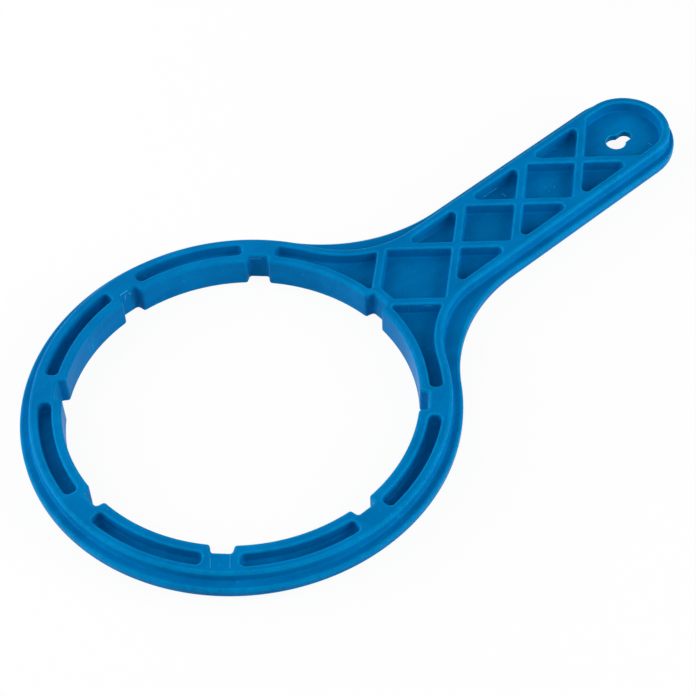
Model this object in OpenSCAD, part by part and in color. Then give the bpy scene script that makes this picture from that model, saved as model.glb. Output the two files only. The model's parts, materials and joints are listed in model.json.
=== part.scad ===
// Ring spanner for the bowl of a water filter housing, moulded in one piece.
// The handle points along +X, and the origin is the ring's centre on the underside.

/* [Ring] */
// Diameter across the lugs that grip the bowl
bore_d = 120; // [112:1:128]
// Number of notches round the bore
notch_count = 8; // [7:1:9]
// Width of a notch at its floor
notch_w = 6.8; // [6:0.1:8]
// Lean of a notch's sides, which widens it towards the bore
notch_lean = 11; // [4:1:16]
// Depth of a notch behind the lugs
notch_depth = 3; // [2.2:0.1:3.2]
// Rounding of a notch's upright corners
notch_r = 1.1; // [0.6:0.1:1.3]
// Wall between the bore and the ring's pockets
lug_wall = 3.4; // [2.8:0.1:4]
// Width of the ring's pockets
pocket_w = 4.6; // [4:0.1:5.6]
// Rounding of the ring pockets' ends
ring_pocket_r = 1.8; // [1:0.1:1.9]
// Width of the solid pad behind each notch
pad_w = 12; // [11:0.1:14]

/* [Walls] */
// Height of the spanner
height = 12; // [10:0.5:15]
// Side wall round the ring and the handle
side_wall = 3; // [2.4:0.1:4]
// Thickness of the web at mid-height
web = 2.8; // [1.6:0.1:3.6]
// Rounding of the handle pockets' corners
pocket_r = 0.8; // [0.5:0.1:1.8]
// Rounding of the triangular pockets' corners at the side wall
tip_r = 1.8; // [0.8:0.1:2.2]
// Rounding of the top and bottom edges
edge_r = 1; // [0.4:0.1:1.2]

/* [Rim] */
// Reach of the rim beyond the side wall
rim_out = 3.6; // [3:0.1:4.5]
// Reach of the rim at the handle's end, where it narrows
rim_tip = 1.1; // [1.1:0.1:2.4]
// Thickness of the rim at mid-height
rim_t = 3.8; // [2.8:0.1:4.4]
// Rounding of the rim's edge
rim_r = 1; // [0.5:0.1:1]
// Fillet between the side wall and the rim
rim_fillet = 0.9; // [0.5:0.1:1.6]
// Radius of the rim's own blend, which makes it wider in the neck
rim_blend_r = 60; // [50:1:75]

/* [Handle] */
// Length from the ring's centre to the end of the handle's side wall
handle_len = 204.5; // [194:0.5:216]
// Width of the handle across its side walls
handle_w = 33.3; // [30:0.1:38]
// Radius of the side wall's blend from the ring to the handle
blend_r = 35; // [28:1:45]

/* [Ribs] */
// Width of a rib
rib_w = 3; // [2.2:0.1:3.8]
// Number of rib crossings along the handle
crossings = 3; // [2:1:4]
// Length from the lugs to the first crossing
first_bay = 40; // [36:0.5:44]
// Length from the feet of the last ribs to the centre of the round end
end_bay = 9.2; // [5:0.2:12]

/* [Hanging hole] */
// Diameter of the keyhole's round part
key_d = 7.5; // [6.6:0.1:9]
// Width of the keyhole's slot
key_slot = 5; // [4.2:0.1:5.4]
// Length from the round part's centre to the centre of the slot's end
key_len = 5; // [4:0.2:7]
// Length from the centre of the slot's end to the end of the handle
key_in = 16.4; // [13:0.1:18]

/* [Hidden] */
$fn = 96;

bore_r = bore_d / 2;
floor_r = bore_r + notch_depth;
pocket_in = bore_r + lug_wall;
pocket_out = pocket_in + pocket_w;
pocket_mid = (pocket_in + pocket_out) / 2;
ring_r = pocket_out + side_wall;
notch_step = 360 / notch_count;
pad_half = asin(pad_w / 2 / pocket_mid);

half_w = handle_w / 2;
half_in = half_w - side_wall;
end_x = handle_len - half_w;
mid_z = height / 2;

// The blend's arc touches the handle's side wall and sinks a little into the ring's, to cross it cleanly
blend_sink = side_wall / 50;
blend_y = half_w + blend_r;
blend_x = sqrt(pow(ring_r + blend_r - blend_sink, 2) - pow(blend_y, 2));
blend_at = [blend_x, blend_y];
blend_turn = atan2(blend_y, blend_x);
blend_in = blend_r + side_wall;

// The rim's blend does the same with the ring's rim and the handle's
rim_y = half_w + rim_out + rim_blend_r - blend_sink;
rim_x = sqrt(pow(ring_r + rim_out + rim_blend_r - blend_sink, 2) - pow(rim_y, 2));
rim_at = [rim_x, rim_y];
rim_turn = atan2(rim_y, rim_x);

// The lattice: ribs leave each crossing at one angle and meet at the side walls
first_x = bore_r + first_bay;
pitch = (end_x - end_bay - first_x) / (crossings - 0.5);
rib_turn = atan2(half_in, pitch / 2);
rib_along = rib_w / 2 / sin(rib_turn);
rib_across = rib_w / 2 / cos(rib_turn);
rib_dir = heading(rib_turn);
rib_side = heading(rib_turn + 90);
rib_start = [bore_r, 0];

// How far cuts run past the faces they leave by
over = side_wall;
// How far fills reach past their corners, and how much rounds are enlarged to cross their sides cleanly
reach = 1.5;
hair = 1.002;

function heading(a) = [cos(a), sin(a)];
function toward(a, b) = (b - a) / norm(b - a);
function half_angle(a, p, b) = acos(toward(p, a) * toward(p, b)) / 2;
function crossing_x(i) = first_x + pitch * i;

// Where a line from p along d meets a circle, on its near (-1) or far (1) side
function meet(p, d, centre, r, side) =
    let (along = (p - centre) * d)
    let (gap = (p - centre) * (p - centre) - r * r)
    p + d * (side * sqrt(along * along - gap) - along);

// What a round of radius r at c leaves standing in the corner k, from its touching points a and b
module corner_fill(c, a, k, b, r) {
    difference() {
        polygon([c, c + (a - c) * reach, c + (k - c) * reach, c + (b - c) * reach]);
        translate(c) circle(r * hair);
    }
}

// The same for a corner p between straight sides to a and b
module straight_fill(a, p, b, r) {
    half = half_angle(a, p, b);
    middle = toward(p, a) + toward(p, b);
    centre = p + middle / norm(middle) * r / sin(half);
    length = r / tan(half);
    corner_fill(centre, p + toward(p, a) * length, p, p + toward(p, b) * length, r);
}

// A polygon with every corner rounded
module rounded(points, r) {
    last = len(points) - 1;
    difference() {
        polygon(points);
        for (i = [0:last])
            straight_fill(points[i == 0 ? last : i - 1], points[i], points[i == last ? 0 : i + 1], r);
    }
}

// Part of a flat ring between two radii and two angles
module sector(r0, r1, a0, a1) {
    far = 2 * r1;
    intersection() {
        difference() {
            circle(r1);
            circle(r0);
        }
        polygon([[0, 0], far * heading(a0), far * heading(a1)]);
    }
}

// Section of the side wall and rim: x is the distance out from the wall's face
module wall_section() {
    depth = 2 * side_wall;
    translate([-depth, 0]) square([depth - edge_r, height]);
    translate([-depth, edge_r]) square([depth, height - 2 * edge_r]);
    for (z = [edge_r, height - edge_r])
        translate([-edge_r, z]) circle(edge_r);
    translate([-side_wall, mid_z - rim_t / 2]) square([side_wall + rim_out - rim_r, rim_t]);
    translate([-side_wall, mid_z - rim_t / 2 + rim_r]) square([side_wall + rim_out, rim_t - 2 * rim_r]);
    for (s = [-1, 1])
        translate([rim_out - rim_r, mid_z + s * (rim_t / 2 - rim_r)]) circle(rim_r);
    for (up = [0, 1])
        translate([0, mid_z]) mirror([0, up]) translate([0, rim_t / 2]) difference() {
            translate([-side_wall / 2, -rim_t / 4])
                square([side_wall / 2 + rim_fillet, rim_t / 4 + rim_fillet]);
            translate([rim_fillet, rim_fillet]) circle(rim_fillet);
        }
}

// The wall and rim follow the ring, the blends, the handle's sides and its end
module wall() {
    rotate_extrude() translate([ring_r, 0]) wall_section();
    for (far = [0, 1]) mirror([0, far, 0]) {
        translate(blend_at) mirror([1, 0, 0]) rotate([0, 0, -90]) rotate_extrude(angle = 90 - blend_turn)
            translate([blend_r, 0]) mirror([1, 0]) wall_section();
        translate([blend_x, half_w, 0]) rotate([90, 0, 90]) linear_extrude(end_x - blend_x)
            wall_section();
    }
    translate([end_x, 0, 0]) rotate([0, 0, -90]) rotate_extrude(angle = 180)
        translate([half_w, 0]) wall_section();
}

// The rim in the neck: its rounded edge on the wider blend, and the plate behind it
module rim_neck() {
    for (far = [0, 1]) mirror([0, far, 0]) {
        translate(rim_at) mirror([1, 0, 0]) rotate([0, 0, -90]) rotate_extrude(angle = 90 - rim_turn)
            translate([rim_blend_r, mid_z]) {
                translate([rim_r, -rim_t / 2]) square([rim_r, rim_t]);
                translate([0, rim_r - rim_t / 2]) square([2 * rim_r, rim_t - 2 * rim_r]);
                for (s = [-1, 1])
                    translate([rim_r, s * (rim_t / 2 - rim_r)]) circle(rim_r);
            }
        translate([0, 0, mid_z - rim_t / 2]) linear_extrude(rim_t) difference() {
            polygon([[0, 0], [rim_x, 0], rim_at]);
            translate(rim_at) circle(rim_blend_r + 1.5 * rim_r);
        }
    }
}

// What the rim's rounded edge leaves outside it round the handle's end, on an arc from further back
module rim_end_cut() {
    back = rim_out - rim_tip + blend_sink;
    translate([end_x - back, 0, 0]) rotate([0, 0, -90]) rotate_extrude(angle = 180)
        translate([half_w + rim_out - rim_r + blend_sink, 0]) difference() {
            translate([0, -over]) square([rim_out + over, height + 2 * over]);
            translate([-rim_r, mid_z - rim_t / 2 + rim_r]) square([2 * rim_r, rim_t - 2 * rim_r]);
            for (s = [-1, 1])
                translate([0, mid_z + s * (rim_t / 2 - rim_r)]) circle(rim_r);
        }
}

// Plan of the body inside the side wall, lapping into it
module core_plan() {
    lap = 1.5 * side_wall;
    circle(ring_r - lap);
    translate([0, lap - half_w]) square([end_x, handle_w - 2 * lap]);
    translate([end_x, 0]) circle(half_w - lap);
    for (far = [0, 1]) mirror([0, far]) difference() {
        polygon([[0, 0], [blend_x, 0], blend_at]);
        translate(blend_at) circle(blend_in + lap - over);
    }
}

// The bore, with the lugs' top and bottom edges rounded
module bore() {
    rotate_extrude() difference() {
        translate([0, -over]) square([bore_r + edge_r, height + 2 * over]);
        translate([bore_r, edge_r]) square([over, height - 2 * edge_r]);
        for (z = [edge_r, height - edge_r])
            translate([bore_r + edge_r, z]) circle(edge_r);
    }
}

// A notch, with rounds at its floor and where its leaning sides meet the lugs
module notch_plan() {
    foot = [floor_r, notch_w / 2];
    lean = heading(180 - notch_lean);
    outward = heading(90 - notch_lean);
    mouth = foot + lean * (notch_depth + over) / cos(notch_lean);
    round_at = meet(foot + outward * notch_r, lean, [0, 0], bore_r + notch_r, -1);
    on_lug = round_at * bore_r / (bore_r + notch_r);
    for (far = [0, 1]) mirror([0, far]) {
        difference() {
            polygon([[mouth.x, 0], [floor_r, 0], foot, mouth]);
            straight_fill([floor_r, 0], foot, mouth, notch_r);
        }
        difference() {
            polygon([[mouth.x, 0], round_at - outward * foot.y, round_at, on_lug]);
            translate(round_at) circle(notch_r * hair);
        }
    }
}

// What stands in the corners of a ring pocket's end at angle a, the pocket being past it (1) or before (-1)
module pocket_end(a, turn) {
    r = ring_pocket_r;
    for (out = [0, 1]) {
        side = out ? pocket_out : pocket_in;
        rc = out ? side - r : side + r;
        c = rc * heading(a + turn * asin(r / rc));
        on_end = sqrt(rc * rc - r * r) * heading(a);
        corner_fill(c, c * side / rc, side * heading(a), on_end, r);
    }
}

module ring_pocket(a0, a1) {
    difference() {
        sector(pocket_in, pocket_out, a0, a1);
        pocket_end(a0, 1);
        pocket_end(a1, -1);
    }
}

// The pocket beside the handle notch, between the lug wall, the first rib and the blend
module side_pocket() {
    edge = rib_start + rib_side * rib_w / 2;
    line = edge + rib_side * pocket_r;
    by_lugs = meet(line, rib_dir, [0, 0], pocket_in + pocket_r, 1);
    by_blend = meet(line, rib_dir, blend_at, blend_in + pocket_r, -1);
    pad_at = notch_step - pad_half;
    difference() {
        sector(pocket_in, pocket_out, blend_turn - pad_half, pad_at);
        pocket_end(pad_at, -1);
    }
    difference() {
        polygon([[0, 0], edge, edge + rib_dir * norm(blend_at - edge), blend_at]);
        circle(pocket_in);
        translate(blend_at) circle(blend_in);
        corner_fill(by_lugs, by_lugs - rib_side * pocket_r, meet(edge, rib_dir, [0, 0], pocket_in, 1),
            by_lugs * pocket_in / (pocket_in + pocket_r), pocket_r);
        corner_fill(by_blend, by_blend - rib_side * pocket_r, meet(edge, rib_dir, blend_at, blend_in, -1),
            blend_at + (by_blend - blend_at) * blend_in / (blend_in + pocket_r), pocket_r);
    }
}

// The bay behind the handle notch, cut off by the notch's back wall
module first_bay_pocket() {
    middle = bore_r + first_bay / 2;
    peak = tan(rib_turn) * first_bay / 2 - rib_across;
    back = floor_r + lug_wall;
    back_half = tan(rib_turn) * (back - bore_r) - rib_across;
    tip = [first_x - rib_along, 0];
    rounded([tip, [middle, peak], [back, back_half], [back, -back_half], [middle, -peak]], pocket_r);
}

// A diamond between crossings, with its corners on the ribs' sides
module diamond_pocket(i) {
    peak = half_in - rib_across;
    left = crossing_x(i) + rib_along;
    right = crossing_x(i + 1) - rib_along;
    middle = (left + right) / 2;
    rounded([[left, 0], [middle, -peak], [right, 0], [middle, peak]], pocket_r);
}

// A triangle between a crossing and the side wall
module triangle_pocket(i) {
    x = crossing_x(i);
    spread = (half_in - rib_across) / tan(rib_turn);
    inner = [x, rib_across];
    right = [x + spread, half_in];
    left = [x - spread, half_in];
    difference() {
        polygon([inner, right, left]);
        straight_fill(left, inner, right, pocket_r);
        straight_fill(inner, right, left, tip_r);
        straight_fill(right, left, inner, tip_r);
    }
}

module end_pocket() {
    start = [crossing_x(crossings - 1) + rib_along, 0];
    foot = [start.x + half_in / tan(rib_turn), half_in];
    other_foot = [foot.x, -foot.y];
    difference() {
        polygon([start, other_foot, [end_x, -half_in], [end_x, half_in], foot]);
        straight_fill(foot, start, other_foot, pocket_r);
    }
    translate([end_x, 0]) circle(half_in);
}

module pocket_plan() {
    for (i = [1:notch_count - 2])
        ring_pocket(i * notch_step + pad_half, (i + 1) * notch_step - pad_half);
    for (far = [0, 1]) mirror([0, far]) {
        side_pocket();
        for (i = [0:crossings - 1])
            triangle_pocket(i);
    }
    first_bay_pocket();
    for (i = [0:crossings - 2])
        diamond_pocket(i);
    end_pocket();
}

// A hanging hole through the web, with its slot towards the handle's end
module keyhole_plan() {
    slot_x = handle_len - key_in;
    translate([slot_x - key_len, 0]) circle(d = key_d);
    translate([slot_x - key_len, -key_slot / 2]) square([key_len, key_slot]);
    translate([slot_x, 0]) circle(d = key_slot);
}

module wrench() {
    color("#016ba7") difference() {
        union() {
            wall();
            rim_neck();
            linear_extrude(height) core_plan();
        }
        rim_end_cut();
        bore();
        translate([0, 0, -over]) linear_extrude(height + 2 * over)
            for (i = [0:notch_count - 1]) rotate(i * notch_step) notch_plan();
        for (under = [0, 1])
            translate([0, 0, mid_z]) mirror([0, 0, under]) translate([0, 0, web / 2])
                linear_extrude(height) pocket_plan();
        linear_extrude(height) keyhole_plan();
    }
}

wrench();
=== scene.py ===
import json
from math import asin, atan, atan2, ceil, cos, degrees, hypot, radians, sin, sqrt

import bmesh
import bpy
from mathutils import Matrix, Vector


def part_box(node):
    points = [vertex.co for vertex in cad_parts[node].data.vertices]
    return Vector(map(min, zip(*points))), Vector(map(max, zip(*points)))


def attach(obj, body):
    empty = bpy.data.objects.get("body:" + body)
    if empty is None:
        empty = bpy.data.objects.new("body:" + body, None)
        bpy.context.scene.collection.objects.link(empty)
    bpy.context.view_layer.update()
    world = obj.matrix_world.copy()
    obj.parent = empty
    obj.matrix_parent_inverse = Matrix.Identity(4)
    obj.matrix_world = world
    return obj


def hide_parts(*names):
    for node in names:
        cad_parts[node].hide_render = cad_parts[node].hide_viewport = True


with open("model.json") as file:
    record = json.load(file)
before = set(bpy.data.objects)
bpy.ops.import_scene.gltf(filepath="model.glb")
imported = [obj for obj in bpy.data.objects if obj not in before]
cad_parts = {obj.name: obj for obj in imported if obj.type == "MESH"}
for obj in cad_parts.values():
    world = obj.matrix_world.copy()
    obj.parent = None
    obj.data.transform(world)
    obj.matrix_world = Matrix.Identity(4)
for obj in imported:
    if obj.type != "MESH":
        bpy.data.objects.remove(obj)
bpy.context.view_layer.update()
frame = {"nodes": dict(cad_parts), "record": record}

scene = bpy.context.scene
mm = 0.001
up = Vector((0, 0, 1))
mounts = {m["name"]: m for m in frame["record"]["mounts"]}
print("frame loaded:", ", ".join(frame["nodes"]))


# The wrench: wall section, outlines and pockets

wrench = {
    "slot": "blue_plastic",
    "lugWall": 3.4 * mm,          # bore to ring pockets
    "pocketWidth": 4.6 * mm,
    "sideWall": 3.0 * mm,
    "rimOut": 3.6 * mm,           # reach of the rim past the side wall
    "rimTip": 1.1 * mm,           # the same at the handle's end
    "rimThick": 3.8 * mm,
    "rimRound": 1.0 * mm,
    "rimFillet": 0.9 * mm,
    "edgeRound": 1.0 * mm,        # outer and bore edges
    "web": 2.8 * mm,
    "ringPocketRound": 1.8 * mm,  # upright corners of the ring's pockets
    "pocketRound": 0.8 * mm,      # the same in the handle
    "tipRound": 1.8 * mm,         # where a triangular pocket meets the side wall
    "lipRound": 0.7 * mm,         # of the painted highlight on the outer edges
    "lipHighlight": 0.22,              # of the wear on the outer edges
    "ringFillet": 1.0 * mm,       # foot of a pocket wall in the ring
    "floorFillet": 0.55 * mm,     # the same in the handle
    "wallDraft": 0.1 * mm,        # lean of a pocket wall over its depth
    "notches": 8,
    "notchWidth": 6.8 * mm,       # at its floor
    "notchLean": 11,              # of its sides, in degrees, wider towards the bore
    "notchDepth": 3.0 * mm,
    "notchRound": 1.1 * mm,
    "padWidth": 12.0 * mm,        # solid behind each notch
    "handleLength": 204.5 * mm,   # ring centre to the end of the wall
    "handleHalf": 16.65 * mm,     # half its width across the walls
    "blendRadius": 35.0 * mm,
    "rimBlend": 60.0 * mm,        # the rim's own blend, wider than the wall's
    "neckStops": 8,               # steps along the handle while the rim is still wide
    "ribWidth": 3.0 * mm,
    "crossings": 3,
    "firstBay": 40.0 * mm,
    "endBay": 9.2 * mm,
    "footRound": 2.0 * mm,        # where the last ribs meet the side walls
    "keySlot": 5.0 * mm,
    "keyLength": 5.0 * mm,
    "keyRound": 0.4 * mm,         # where the slot leaves the round hole
    "keyLip": 0.2 * mm,           # edges of the keyhole
    "chord": 2.0 * mm,            # longest step on an arc
    "turnStep": 12,               # widest step on an arc, in degrees
    "sectionSteps": 5,            # steps on a rounded edge
    "hold": 0.06 * mm,            # narrow strip that keeps a flat face flat beside a rounded edge
    "heldFrom": 0.3 * mm,         # shortest stretch of a section that gets the strips
    "weld": 0.002 * mm,
    "touching": 0.00002 * mm,     # arcs this close need no straight between them
}
w = wrench

lowest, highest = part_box("wrench")
topZ = highest.z
midZ = (lowest.z + highest.z) / 2
webZ = midZ + w["web"] / 2
boreR = mounts["housing_bore"]["dims"]["r_mm"] * mm
keyR = mounts["hang_hole"]["dims"]["r_mm"] * mm
keyX = mounts["hang_hole"]["pos_m"][0]
floorR = boreR + w["notchDepth"]
pocketIn = boreR + w["lugWall"]
pocketOut = pocketIn + w["pocketWidth"]
ringR = pocketOut + w["sideWall"]
halfW = w["handleHalf"]
halfIn = halfW - w["sideWall"]
endX = w["handleLength"] - halfW
rimBackX = endX - w["rimOut"] + w["rimTip"]   # centre of the rim's own end arc
notchStep = 360 / w["notches"]
padHalf = degrees(asin(w["padWidth"] / (pocketIn + pocketOut)))
ringRound = w["ringPocketRound"]
leanOut = degrees(asin(ringRound / (pocketOut - ringRound)))   # from a pad's side to its corners' centres
leanIn = degrees(asin(ringRound / (pocketIn + ringRound)))

blendY = halfW + w["blendRadius"]
blendX = sqrt((ringR + w["blendRadius"]) ** 2 - blendY ** 2)
blendTurn = degrees(atan2(blendY, blendX))
blendIn = w["blendRadius"] + w["sideWall"]
rimY = halfW + w["rimOut"] + w["rimBlend"]
rimX = sqrt((ringR + w["rimOut"] + w["rimBlend"]) ** 2 - rimY ** 2)
rimTurn = degrees(atan2(rimY, rimX))

firstX = boreR + w["firstBay"]
pitch = (endX - w["endBay"] - firstX) / (w["crossings"] - 0.5)   # the last ribs end half a pitch on
crossingX = [firstX + pitch * i for i in range(w["crossings"])]
ribSlope = halfIn / (pitch / 2)
ribTurn = degrees(atan(ribSlope))
ribAlong = w["ribWidth"] / 2 / sin(radians(ribTurn))
ribAcross = w["ribWidth"] / 2 / cos(radians(ribTurn))


def at(x, y):
    return Vector((x, y, 0))


def heading(angle):
    return at(cos(radians(angle)), sin(radians(angle)))


def angleOf(v):
    return degrees(atan2(v.y, v.x))


# An outline is a list of arcs (centre, radius, start, end) joined by straights,
# with the open side on its left

def arcStart(arc):
    return arc[0] + heading(arc[2]) * arc[1]


def arcEnd(arc):
    return arc[0] + heading(arc[3]) * arc[1]


def meet(point, direction, centre, radius, side):  # where a line meets a circle, near (-1) or far (1)
    along = (point - centre).dot(direction)
    gap = (point - centre).length_squared - radius ** 2
    return point + direction * (side * sqrt(along ** 2 - gap) - along)


def roundedCorners(points, radius):  # arcs of a polygon that turns left at every corner
    arcs = []
    for before, corner, after in zip(points[-1:] + points[:-1], points, points[1:] + points[:1]):
        turnIn = angleOf(corner - before)
        turnOut = turnIn + (angleOf(after - corner) - turnIn) % 360
        half = radians(180 - (turnOut - turnIn)) / 2
        inward = ((before - corner).normalized() + (after - corner).normalized()).normalized()
        arcs.append((corner + inward * radius / sin(half), radius, turnIn - 90, turnOut - 90))
    return arcs


# A section is a list of points (distance out, height, edge), where edge is its share of the painted edge
# highlight and of the edge polish, up to 1

def quarter(n, z, radius, start, end, edge=0):
    steps = w["sectionSteps"]
    angles = [radians(start + (end - start) * i / steps) for i in range(steps + 1)]
    return [(n + radius * cos(a), z + radius * sin(a), edge) for a in angles]


def heldSection(points):  # flat stretches get a narrow strip at each end
    held = points[:1]
    for (n0, z0, _), (n1, z1, edge) in zip(points, points[1:]):
        length = hypot(n1 - n0, z1 - z0)
        if length > w["heldFrom"]:
            share = w["hold"] / length
            held.append((n0 + (n1 - n0) * share, z0 + (z1 - z0) * share, 0))
            held.append((n1 + (n0 - n1) * share, z1 + (z0 - z1) * share, 0))
        held.append((n1, z1, edge))
    return held


def sweepOutline(wholeMesh, arcs, section):
    bm = bmesh.new()  # its own small mesh, as spin slows down in a large one
    start, end = arcs[0][2:]
    openSide = heading(start) * (-1 if end > start else 1)
    edgeLayer = bm.verts.layers.float.new("edge")
    verts = []
    for n, z, edge in section:
        vert = bm.verts.new(arcStart(arcs[0]) + openSide * n + up * z)
        vert[edgeLayer] = edge
        verts.append(vert)
    geom = verts + [bm.edges.new(pair) for pair in zip(verts, verts[1:])]
    for arc, following in zip(arcs, arcs[1:] + arcs[:1]):
        centre, radius, start, end = arc
        turn = radians(end - start)
        steps = max(ceil(abs(turn) * radius / w["chord"]), ceil(abs(end - start) / w["turnStep"]))
        if steps:
            spun = bmesh.ops.spin(bm, geom=geom, cent=centre, axis=up, angle=turn, steps=steps)
            geom = spun["geom_last"]
        stride = arcStart(following) - arcEnd(arc)
        if stride.length > w["touching"]:
            edges = [g for g in geom if isinstance(g, bmesh.types.BMEdge)]
            grown = bmesh.ops.extrude_edge_only(bm, edges=edges)["geom"]
            verts = [g for g in grown if isinstance(g, bmesh.types.BMVert)]
            bmesh.ops.translate(bm, verts=verts, vec=stride)
            fresh = set(verts)
            edges = [g for g in grown if isinstance(g, bmesh.types.BMEdge)]
            geom = verts + [e for e in edges if fresh.issuperset(e.verts)]
    bmesh.ops.remove_doubles(bm, verts=bm.verts, dist=w["weld"])
    swept = bpy.data.meshes.new("swept")
    bm.to_mesh(swept)
    bm.free()
    wholeMesh.from_mesh(swept)
    bpy.data.meshes.remove(swept)


def fillLevel(bm, z):  # closes the flat face that the swept edges leave open at one height
    level = [e for e in bm.edges if e.is_boundary and all(abs(v.co.z - z) < w["weld"] for v in e.verts)]
    bmesh.ops.triangle_fill(bm, edges=level, use_beauty=True, normal=up)


def sideSection():
    edge, rim = w["edgeRound"], midZ + w["rimThick"] / 2
    points = [(-edge - w["hold"], topZ, 0)]
    points += quarter(-edge, topZ - edge, edge, 90, 0, 1)
    points += quarter(w["rimFillet"], rim + w["rimFillet"], w["rimFillet"], 180, 270)
    points += quarter(w["rimOut"] - w["rimRound"], rim - w["rimRound"], w["rimRound"], 90, 0, 1)
    return heldSection(points + [(w["rimOut"], midZ, 0)])


def boreSection():
    edge = w["edgeRound"]
    points = [(-edge - w["hold"], topZ, 0)] + quarter(-edge, topZ - edge, edge, 90, 0, 1)
    return heldSection(points + [(0, midZ, 0)])


def pocketSection(fillet):
    lip, lean = w["lipRound"], w["wallDraft"]
    points = [(-lip - w["hold"], topZ, 0)] + quarter(-lip, topZ - lip, lip, 90, 0, w["lipHighlight"])
    points += quarter(lean + fillet, webZ + fillet, fillet, 180, 270)
    return heldSection(points + [(lean + fillet + w["hold"], webZ, 0)])


def keySection():
    lip = w["keyLip"]
    points = [(-lip - w["hold"], webZ, 0)] + quarter(-lip, webZ - lip, lip, 90, 0, 1)
    return heldSection(points + [(0, midZ, 0)])


def outerOutline():
    blend, stops = w["blendRadius"], w["neckStops"]
    # stops along the straight sides, where the rim narrows from the neck and towards the end
    stopX = [blendX + (rimX - blendX) * (i + 1) / stops for i in range(stops)] + [rimBackX]
    return [
        (at(0, 0), ringR, -blendTurn, blendTurn - 360),
        (at(blendX, blendY), blend, 180 + blendTurn, 270),
        *[(at(x, 0), halfW, 90, 90) for x in stopX],
        (at(endX, 0), halfW, 90, -90),
        *[(at(x, 0), halfW, -90, -90) for x in reversed(stopX)],
        (at(blendX, -blendY), blend, 90, 180 - blendTurn),
    ]


def boreOutline():
    corner, half, lean = w["notchRound"], w["notchWidth"] / 2, w["notchLean"]
    foot = at(floorR, half)
    lipAt = meet(foot + heading(90 - lean) * corner, heading(180 - lean), at(0, 0), boreR + corner, -1)
    mouth = angleOf(lipAt)   # from the notch's middle to its rounded lip
    aside = half - corner * (1 - sin(radians(lean))) / cos(radians(lean))
    arcs = []
    for i in range(w["notches"]):
        turn = notchStep * i
        across = heading(turn + 90)
        back = heading(turn) * (floorR - corner)
        arcs += [
            (heading(turn - mouth) * (boreR + corner), corner, turn - mouth + 180, turn + 90 + lean),
            (back - across * aside, corner, turn - 90 + lean, turn),
            (back + across * aside, corner, turn, turn + 90 - lean),
            (heading(turn + mouth) * (boreR + corner), corner, turn + 270 - lean, turn + mouth + 180),
            (at(0, 0), boreR, turn + mouth, turn + notchStep - mouth),
        ]
    return arcs


def padEnd(angle):  # the corners of a ring pocket where it meets a pad further round
    return [
        (heading(angle - leanOut) * (pocketOut - ringRound), ringRound, angle - leanOut, angle + 90),
        (heading(angle - leanIn) * (pocketIn + ringRound), ringRound, angle + 90, angle - leanIn + 180),
    ]


def padStart(angle):  # the same where it leaves a pad
    return [
        (heading(angle + leanIn) * (pocketIn + ringRound), ringRound, angle + leanIn + 180, angle + 270),
        (heading(angle + leanOut) * (pocketOut - ringRound), ringRound, angle + 270, angle + leanOut + 360),
    ]


def ringPocket(i):
    start, end = i * notchStep + padHalf, (i + 1) * notchStep - padHalf
    outer = (at(0, 0), pocketOut, start + leanOut, end - leanOut)
    inner = (at(0, 0), pocketIn, end - leanIn, start + leanIn)
    return [outer] + padEnd(end) + [inner] + padStart(start)


def sidePocket():  # beside the handle notch: lug wall, first rib, blend and pad
    r = w["pocketRound"]
    blendAt = at(blendX, blendY)
    line = at(boreR, 0) + heading(ribTurn + 90) * (w["ribWidth"] / 2 + r)
    byLugs = meet(line, heading(ribTurn), at(0, 0), pocketIn + r, 1)
    byBlend = meet(line, heading(ribTurn), blendAt, blendIn + r, -1)
    end = notchStep - padHalf
    tipTurn = angleOf(blendAt - byBlend)
    return [
        (byLugs, r, angleOf(byLugs) + 180, ribTurn + 270),
        (byBlend, r, ribTurn - 90, tipTurn),
        (blendAt, blendIn, tipTurn + 180, blendTurn + 180),
        (at(0, 0), pocketOut, blendTurn, end - leanOut),
        *padEnd(end),
        (at(0, 0), pocketIn, end - leanIn, angleOf(byLugs)),
    ]


def firstBay():
    middle, back = boreR + w["firstBay"] / 2, floorR + w["lugWall"]
    peak = ribSlope * w["firstBay"] / 2 - ribAcross
    backHalf = ribSlope * (back - boreR) - ribAcross
    tip = at(firstX - ribAlong, 0)
    corners = [tip, at(middle, peak), at(back, backHalf), at(back, -backHalf), at(middle, -peak)]
    return roundedCorners(corners, w["pocketRound"])


def diamond(i):
    left, right, peak = crossingX[i] + ribAlong, crossingX[i + 1] - ribAlong, halfIn - ribAcross
    middle = (left + right) / 2
    corners = [at(left, 0), at(middle, -peak), at(right, 0), at(middle, peak)]
    return roundedCorners(corners, w["pocketRound"])


def triangle(i):
    x, spread = crossingX[i], (halfIn - ribAcross) / ribSlope
    corners = [at(x, ribAcross), at(x + spread, halfIn), at(x - spread, halfIn)]
    return roundedCorners(corners, w["pocketRound"])[:1] + roundedCorners(corners, w["tipRound"])[1:]


def endPocket():
    start = at(crossingX[-1] + ribAlong, 0)
    foot = at(start.x + halfIn / ribSlope, halfIn)
    corners = [start, at(foot.x, -foot.y), at(endX, -halfIn), at(endX, halfIn), foot]
    tip = roundedCorners(corners, w["pocketRound"])[0]
    feet = roundedCorners(corners, w["footRound"])
    return [tip, feet[1], (at(endX, 0), halfIn, -90, 90), feet[4]]


def keyhole():
    r, half = w["keyRound"], w["keySlot"] / 2
    neck = degrees(asin((half + r) / (keyR + r)))
    neckX = keyX + (keyR + r) * cos(radians(neck))
    return [
        (at(keyX + w["keyLength"], 0), half, -90, 90),
        (at(neckX, half + r), r, 270, 180 + neck),
        (at(keyX, 0), keyR, neck, 360 - neck),
        (at(neckX, -half - r), r, 180 - neck, 90),
    ]


def flipped(arcs):  # the same outline across the handle, still with the open side on its left
    return [(at(c.x, -c.y), r, -end, -start) for c, r, start, end in reversed(arcs)]


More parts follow.
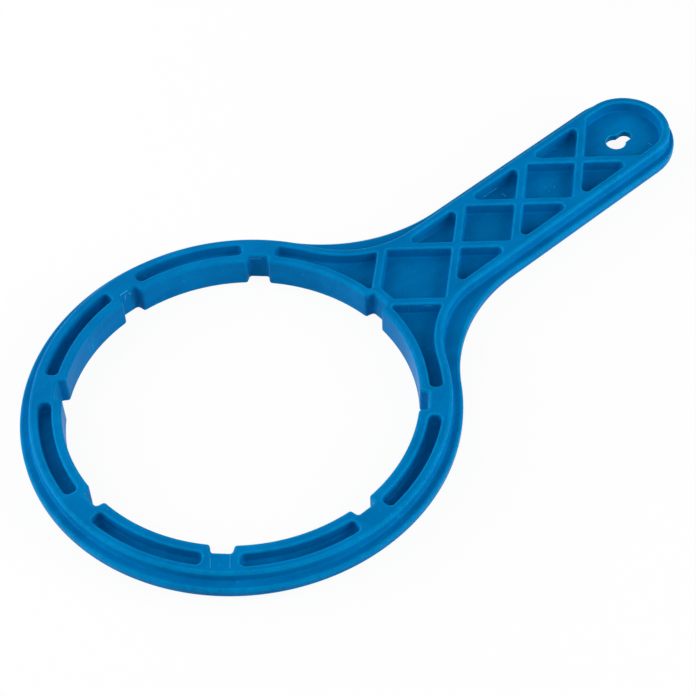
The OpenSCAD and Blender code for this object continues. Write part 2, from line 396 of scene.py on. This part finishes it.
def narrowRim(bm):  # towards the handle's end the rim follows its own arc, and its fillet narrows with it
    for vert in bm.verts:
        spot = at(vert.co.x, vert.co.y)
        hub = at(min(spot.x, endX), 0)
        reach = (spot - hub).length - halfW
        if spot.x > rimBackX and reach > w["weld"]:
            outward = (spot - hub).normalized()
            foot = hub + outward * halfW
            rimEdge = meet(foot, outward, at(rimBackX, 0), halfW + w["rimOut"], 1)
            vert.co += (rimEdge - foot) * reach / w["rimOut"] - outward * reach


def widenRim(bm):  # in the neck the rim's edge follows its own wider blend, and its fillet stays
    start, span = w["rimFillet"], w["rimOut"] - w["rimRound"] - w["rimFillet"]
    blendAt = at(blendX, blendY)
    for vert in bm.verts:
        side = 1 if vert.co.y > 0 else -1
        spot = at(vert.co.x, vert.co.y * side)
        turn = angleOf(spot)
        if spot.x > rimX or turn > rimTurn:
            continue
        if turn > blendTurn:
            outward, reach = spot.normalized(), spot.length - ringR
        elif spot.x < blendX:
            outward, reach = (blendAt - spot).normalized(), w["blendRadius"] - (blendAt - spot).length
        else:
            outward, reach = at(0, 1), spot.y - halfW
        share = min(1, (reach - start) / span)
        if share > 0:
            foot = spot - outward * reach
            edge = meet(foot, outward, at(rimX, rimY), w["rimBlend"], -1)
            grown = outward * ((edge - foot).length - w["rimOut"]) * share
            vert.co += at(grown.x, grown.y * side)


def makeWrench():
    bm = bmesh.new()
    sweepOutline(bm, outerOutline(), sideSection())
    narrowRim(bm)
    widenRim(bm)
    sweepOutline(bm, boreOutline(), boreSection())
    for i in range(1, w["notches"] - 1):
        sweepOutline(bm, ringPocket(i), pocketSection(w["ringFillet"]))
    pockets = [diamond(i) for i in range(w["crossings"] - 1)] + [firstBay(), endPocket()]
    beside = [sidePocket()] + [triangle(i) for i in range(w["crossings"])]
    for arcs in pockets + beside + [flipped(a) for a in beside]:
        sweepOutline(bm, arcs, pocketSection(w["floorFillet"]))
    sweepOutline(bm, keyhole(), keySection())
    fillLevel(bm, topZ)
    fillLevel(bm, webZ)
    bmesh.ops.mirror(bm, geom=bm.verts[:] + bm.edges[:] + bm.faces[:],
                     matrix=Matrix.Translation(up * -midZ), merge_dist=w["weld"], axis="Z")
    bmesh.ops.remove_doubles(bm, verts=bm.verts, dist=w["weld"])
    bmesh.ops.recalc_face_normals(bm, faces=bm.faces)
    for face in bm.faces:
        face.smooth = True
    print("wrench:", len(bm.faces), "faces,", sum(not e.is_manifold for e in bm.edges), "open edges,",
          round(bm.calc_volume() / mm ** 3), "mm3")
    mesh = bpy.data.meshes.new("wrenchBody")
    bm.to_mesh(mesh)
    bm.free()
    body = bpy.data.objects.new("wrenchBody", mesh)
    scene.collection.objects.link(body)
    return body


body = makeWrench()
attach(body, "root")
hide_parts("wrench")


# Finish

class Wire:  # a shader socket that can be used in sums
    def __init__(self, tree, socket=None):
        self.tree = tree
        self.socket = socket

    def add(self, kind, settings, values, output=0):
        node = self.tree.nodes.new("ShaderNode" + kind)
        for name, value in settings.items():
            setattr(node, name, value)
        for name, value in values.items():
            if isinstance(value, Wire):
                self.tree.links.new(value.socket, node.inputs[name])
            else:
                node.inputs[name].default_value = value
        return Wire(self.tree, None if output is None else node.outputs[output])

    def sums(self, operation, first, second):
        return self.add("Math", {"operation": operation}, {0: first, 1: second})

    def __add__(self, other):
        return self.sums("ADD", self, other)

    def __radd__(self, other):
        return self.sums("ADD", other, self)

    def __sub__(self, other):
        return self.sums("SUBTRACT", self, other)

    def __rsub__(self, other):
        return self.sums("SUBTRACT", other, self)

    def __mul__(self, other):
        return self.sums("MULTIPLY", self, other)

    def __rmul__(self, other):
        return self.sums("MULTIPLY", other, self)

    def atLeast(self, other):
        return self.sums("MAXIMUM", self, other)

    def between(self, low, high):  # 0 below low, 1 above high, smooth between
        smooth = {"interpolation_type": "SMOOTHSTEP"}
        return self.add("MapRange", smooth, {0: self, 1: low, 2: high, 3: 0, 4: 1})

    def noise(self, size, detail, rough):  # of this vector, about 0 to 1
        values = {"Vector": self, "Scale": 1 / size, "Detail": detail, "Roughness": rough}
        return self.add("TexNoise", {}, values)

    def stretched(self, turn, scale):
        return self.add("Mapping", {}, {"Vector": self, "Rotation": (0, 0, radians(turn)), "Scale": scale})

    def stroke(self, start, end, core, width):  # of this place, 1 on a short line that fades past its core
        along = end - start
        offset = self.add("VectorMath", {"operation": "SUBTRACT"}, {0: self, 1: start})
        reach = self.add("VectorMath", {"operation": "DOT_PRODUCT"}, {0: offset, 1: along}, 1)
        clamped = {"operation": "MULTIPLY", "use_clamp": True}
        share = self.add("Math", clamped, {0: reach, 1: 1 / along.length_squared})
        nearest = self.add("VectorMath", {"operation": "SCALE"}, {0: along, "Scale": share})
        gap = self.add("VectorMath", {"operation": "DISTANCE"}, {0: offset, 1: nearest}, 1)
        return 1 - gap.between(core, width)

    def tinted(self, other, share):  # this colour with a share of another
        return self.add("Mix", {"data_type": "RGBA"}, {0: share, 6: self, 7: other}, 2)


def linear(level):  # 0 to 255 as given in screen levels
    share = level / 255
    return share / 12.92 if share <= 0.04045 else ((share + 0.055) / 1.055) ** 2.4


def srgb(red, green, blue):
    return (linear(red), linear(green), linear(blue), 1)


plastic = {
    "deep": srgb(0, 103, 164),
    "light": srgb(0, 117, 181),
    # pale cyan of scratches and specks, also used as a painted highlight along the rounded edges
    "wornAndHighlight": srgb(0, 174, 224),
    "scuffed": srgb(62, 162, 216),
    "gleam": (0.0, 0.7, 1, 1),           # tint of the shine
    "shine": 0.02,
    "roughness": 0.36,
    "grainRough": 0.12,                  # changes of the roughness
    "cloudRough": 0.1,
    "scratchRough": 0.12,
    "edgePolish": 0.06,
    "mottle": 16 * mm,
    "flowLength": 30 * mm,
    "flowWidth": 4.5 * mm,
    "flowShare": 0.35,
    "toneCut": (0.3, 0.7),               # where a noise starts to show, and shows in full
    "grain": 0.4 * mm,
    "grainDepth": 0.004,                 # depths in mm
    "ripple": 5 * mm,
    "rippleDepth": 0.03,
    "scratchDepth": 0.02,
    "scratchWidth": 0.25 * mm,
    "scratchLength": 12 * mm,
    "scratchTurns": (12, 71, 133),
    "scratchCut": (0.7, 0.78),
    "scratchPatch": 22 * mm,
    "patchCut": (0.5, 0.66),
    "scratchShare": 0.3,                 # of the wear-and-highlight colour
    "speck": 1.1 * mm,
    "speckCut": (0.77, 0.82),
    "speckShare": 0.22,
    "highlightPatch": 2.5 * mm,
    "highlightCut": (0.35, 0.7),
    "leastHighlight": 0.5,                     # of the painted highlight on an edge, between its patches
    "highlightFades": (12 * mm, 45 * mm),     # where the painted edge highlight fades across the wrench, towards the far side
    "highlightLost": 0.5,                     # on the side that it fades to
    "scuffCore": 0.104 * mm,
    "scuffWidth": 0.26 * mm,
    "scuffBreak": 0.8 * mm,              # size of the gaps in a scuff
    "breakCut": (0.25, 0.5),
    # scuffs on the handle's pocket floors: ends in mm on the plan, and strength
    "floorScuffs": [
        ((93.2, 13.2), (103.6, 12.5), 0.3),
        ((125.5, 13.2), (133.0, 13.2), 0.4),
        ((132.8, 9.9), (132.8, 8.1), 0.8),
        ((136.1, -2.2), (136.5, -3.8), 0.9),
        ((137.0, -4.3), (136.9, -6.0), 0.8),
        ((191.6, -8.8), (191.8, -10.4), 0.8),
        ((149.4, -0.7), (149.0, -1.1), 1.0),
        ((146.2, -1.0), (146.4, -1.2), 0.6),
        ((146.7, 1.4), (146.7, 1.2), 0.6),
        ((163.8, 12.9), (164.1, 12.7), 0.6),
        ((157.6, 11.3), (157.8, 11.1), 0.5),
        ((189.5, 13.2), (189.8, 13.2), 0.5),
    ],
    # nicks and flecks on the walls and top: ends in mm, and strength
    "nicks": [
        ((42.5, 46.4, 9.9), (43.5, 45.5, 9.9), 0.9),
        ((43.5, 45.5, 9.9), (45.2, 43.8, 10.1), 0.5),
        ((0.2, 63.2, 11.6), (-2.9, 63.1, 11.6), 0.7),
        ((0.5, 63.0, 10.3), (1.4, 63.0, 9.0), 0.6),
        ((-1.0, 63.0, 10.0), (-1.3, 63.0, 8.1), 0.7),
        ((66.8, -8.7, 10.8), (74.4, -14.4, 10.8), 0.5),
        ((-48.2, -43.6, 12.0), (-50.7, -46.7, 12.0), 0.3),
        ((-43.4, -47.5, 12.0), (-46.2, -50.9, 12.0), 0.3),
        ((199.8, -1.5, 12.0), (200.1, -1.7, 12.0), 0.6),
    ],
}


def bluePlastic():
    material = bpy.data.materials.new("bluePlastic")
    material.use_nodes = True
    tree = material.node_tree
    shader = tree.nodes["Principled BSDF"]
    place = Wire(tree).add("TexCoord", {}, {}, "Object")
    edge = Wire(tree).add("Attribute", {"attribute_name": "edge"}, {}, "Fac")

    # cloudy colour with faint flow marks along the handle
    cloud = place.noise(plastic["mottle"], 3, 0.55)
    along = (plastic["flowWidth"] / plastic["flowLength"], 1, 1)
    flow = place.stretched(0, along).noise(plastic["flowWidth"], 2, 0.6)
    tone = cloud * (1 - plastic["flowShare"]) + flow * plastic["flowShare"]
    tone = tone.between(*plastic["toneCut"])
    shades = {0: tone, 6: plastic["deep"], 7: plastic["light"]}
    colour = Wire(tree).add("Mix", {"data_type": "RGBA"}, shades, 2)

    # hair scratches in three directions, in patches
    patches = place.noise(plastic["scratchPatch"], 2, 0.5).between(*plastic["patchCut"])
    squeeze = plastic["scratchWidth"] / plastic["scratchLength"]
    scratches = None
    for turn in plastic["scratchTurns"]:
        drawn = place.stretched(turn, (squeeze, 1, squeeze))
        hairs = drawn.noise(plastic["scratchWidth"], 1, 0.4).between(*plastic["scratchCut"])
        scratches = hairs if scratches is None else scratches.atLeast(hairs)
    scratches = scratches * patches

    # specks, and a painted highlight along the rounded edges, broken into patches and weaker on the far
    # side towards +Y
    specks = place.noise(plastic["speck"], 0, 0.5).between(*plastic["speckCut"])
    highlightBreakup = place.noise(plastic["highlightPatch"], 3, 0.6).between(*plastic["highlightCut"])
    edgeHighlight = edge * (plastic["leastHighlight"] + (1 - plastic["leastHighlight"]) * highlightBreakup)
    sideways = place.add("SeparateXYZ", {}, {0: place}, "Y")
    edgeHighlight = edgeHighlight * (1 - plastic["highlightLost"] * sideways.between(*plastic["highlightFades"]))
    # real scratches and specks together with the painted edge highlight
    marksAndHighlight = (scratches * plastic["scratchShare"]).atLeast(specks * plastic["speckShare"]).atLeast(edgeHighlight)
    colour = colour.tinted(plastic["wornAndHighlight"], marksAndHighlight)

    # single scuffs and nicks
    floorZ = webZ / mm
    strokes = [((*start, floorZ), (*end, floorZ), share) for start, end, share in plastic["floorScuffs"]]
    core, width = plastic["scuffCore"], plastic["scuffWidth"]
    scuffs = None
    for start, end, share in strokes + plastic["nicks"]:
        scuff = place.stroke(Vector(start) * mm, Vector(end) * mm, core, width) * share
        scuffs = scuff if scuffs is None else scuffs.atLeast(scuff)
    scuffs = scuffs * place.noise(plastic["scuffBreak"], 2, 0.6).between(*plastic["breakCut"])
    colour = colour.tinted(plastic["scuffed"], scuffs)
    tree.links.new(colour.socket, shader.inputs["Base Color"])

    # satin gloss and fine relief
    grain = place.noise(plastic["grain"], 2, 0.6)
    satin = plastic["roughness"] + (grain - 0.5) * plastic["grainRough"]
    satin = satin + (cloud - 0.5) * plastic["cloudRough"] - edge * plastic["edgePolish"]
    satin = satin + scratches * plastic["scratchRough"]
    tree.links.new(satin.socket, shader.inputs["Roughness"])

    ripple = place.noise(plastic["ripple"], 1, 0.4)
    relief = grain * plastic["grainDepth"] + ripple * plastic["rippleDepth"]
    relief = relief - scratches * plastic["scratchDepth"]
    bump = relief.add("Bump", {}, {"Height": relief, "Distance": mm, "Strength": 1.0})
    tree.links.new(bump.socket, shader.inputs["Normal"])

    shader.inputs["Specular IOR Level"].default_value = plastic["shine"]
    shader.inputs["Specular Tint"].default_value = plastic["gleam"]
    print("plastic:", len(tree.nodes), "nodes")
    return material


body.data.materials.append(bluePlastic())


# Camera

view = {
    "azimuth": -39.72,
    "elevation": 50.46,
    "roll": -2.42,
    "lens": 94.84,
    "sensor": 36,
    "distance": 614.0 * mm,       # along the view, to the ring's centre on the top face
    "ringAt": (240.60, 393.94),   # pixel of that point
    "imageSide": 696,
}


def placeCamera():
    turn, lift, roll = radians(view["azimuth"]), radians(view["elevation"]), radians(view["roll"])
    back = Vector((sin(turn) * cos(lift), -cos(turn) * cos(lift), sin(lift)))
    right = Vector((cos(turn), sin(turn), 0))
    top = back.cross(right)
    right, top = cos(roll) * right + sin(roll) * top, cos(roll) * top - sin(roll) * right
    data = bpy.data.cameras.new("camera")
    data.lens = view["lens"]
    data.sensor_width = view["sensor"]
    pixel = view["sensor"] / view["lens"] / view["imageSide"] * view["distance"]   # its width at that point
    aside = (view["ringAt"][0] - view["imageSide"] / 2) * pixel
    below = (view["ringAt"][1] - view["imageSide"] / 2) * pixel
    camera = bpy.data.objects.new("camera", data)
    camera.matrix_world = Matrix((right, top, back)).transposed().to_4x4()
    camera.location = up * topZ + back * view["distance"] - right * aside + top * below
    scene.collection.objects.link(camera)
    scene.camera = camera
    print("camera:", view["lens"], "mm lens,", view["elevation"], "degrees up")


placeCamera()


# Floor, world and lights

studio = {
    "floorSide": 6.0,       # metres
    "floorTone": 0.85,
    "floorGap": 0.05 * mm,  # below the wrench, so that the two faces never share a plane
    "whiteShare": 0.93,     # of the floor that the camera sees as plain white, the rest keeps the shadow
    "fill": 0.05,           # light from the world
    "aim": (0.06, 0, 0),    # where the lamps point
    "lamps": {
        # place, size, power in watts
        "rightSoftbox": ((0.550, -0.692, 0.530), 0.6, 6.2),
        "rightStrip": ((0.625, -0.799, 0.208), 0.6, 3.9),
        "leftSoftbox": ((-0.710, 0.355, 0.530), 0.6, 4.1),
        "leftStrip": ((-0.692, 0.625, 0.208), 0.6, 5.3),
        "backSoftbox": ((0.057, 0.520, 0.300), 0.6, 1.7),
        "frontSoftbox": ((-0.350, -0.450, 0.750), 0.6, 2.0),
    },
}


def whiteToCamera(tree):  # 1 for rays that should see the plain white surround
    rays = tree.nodes.new("ShaderNodeLightPath")
    seen = Wire(tree, rays.outputs["Is Camera Ray"])
    seen = seen.atLeast(Wire(tree, rays.outputs["Is Glossy Ray"]))
    return seen.atLeast(Wire(tree, rays.outputs["Is Transmission Ray"]))


def makeFloor():
    bm = bmesh.new()
    bmesh.ops.create_grid(bm, x_segments=1, y_segments=1, size=studio["floorSide"] / 2)
    bmesh.ops.translate(bm, verts=bm.verts, vec=up * (lowest.z - studio["floorGap"]))
    mesh = bpy.data.meshes.new("floor")
    bm.to_mesh(mesh)
    bm.free()
    floor = bpy.data.objects.new("floor", mesh)
    scene.collection.objects.link(floor)
    material = bpy.data.materials.new("floorPaper")
    material.use_nodes = True
    tree = material.node_tree
    tree.nodes.clear()
    tone = studio["floorTone"]
    paper = Wire(tree).add("BsdfDiffuse", {}, {"Color": (tone, tone, tone, 1)})
    white = Wire(tree).add("Emission", {}, {"Color": (1, 1, 1, 1), "Strength": 1.0})
    share = whiteToCamera(tree) * studio["whiteShare"]
    mixed = Wire(tree).add("MixShader", {}, {0: share, 1: paper, 2: white})
    Wire(tree).add("OutputMaterial", {}, {"Surface": mixed}, None)
    mesh.materials.append(material)


def lightScene():
    world = bpy.data.worlds.new("studio")
    world.use_nodes = True
    tree = world.node_tree
    tree.nodes.clear()
    strength = whiteToCamera(tree) * (1 - studio["fill"]) + studio["fill"]
    surround = Wire(tree).add("Background", {}, {"Color": (1, 1, 1, 1), "Strength": strength})
    Wire(tree).add("OutputWorld", {}, {"Surface": surround}, None)
    scene.world = world
    for name, (place, size, power) in studio["lamps"].items():
        data = bpy.data.lights.new(name, "AREA")
        data.size = size
        data.energy = power
        lamp = bpy.data.objects.new(name, data)
        lamp.location = place
        lamp.rotation_euler = (Vector(studio["aim"]) - lamp.location).to_track_quat("-Z", "Y").to_euler()
        lamp.visible_camera = False
        scene.collection.objects.link(lamp)
    print("studio:", ", ".join(studio["lamps"]))


makeFloor()
lightScene()
scene.view_settings.view_transform = "Standard"
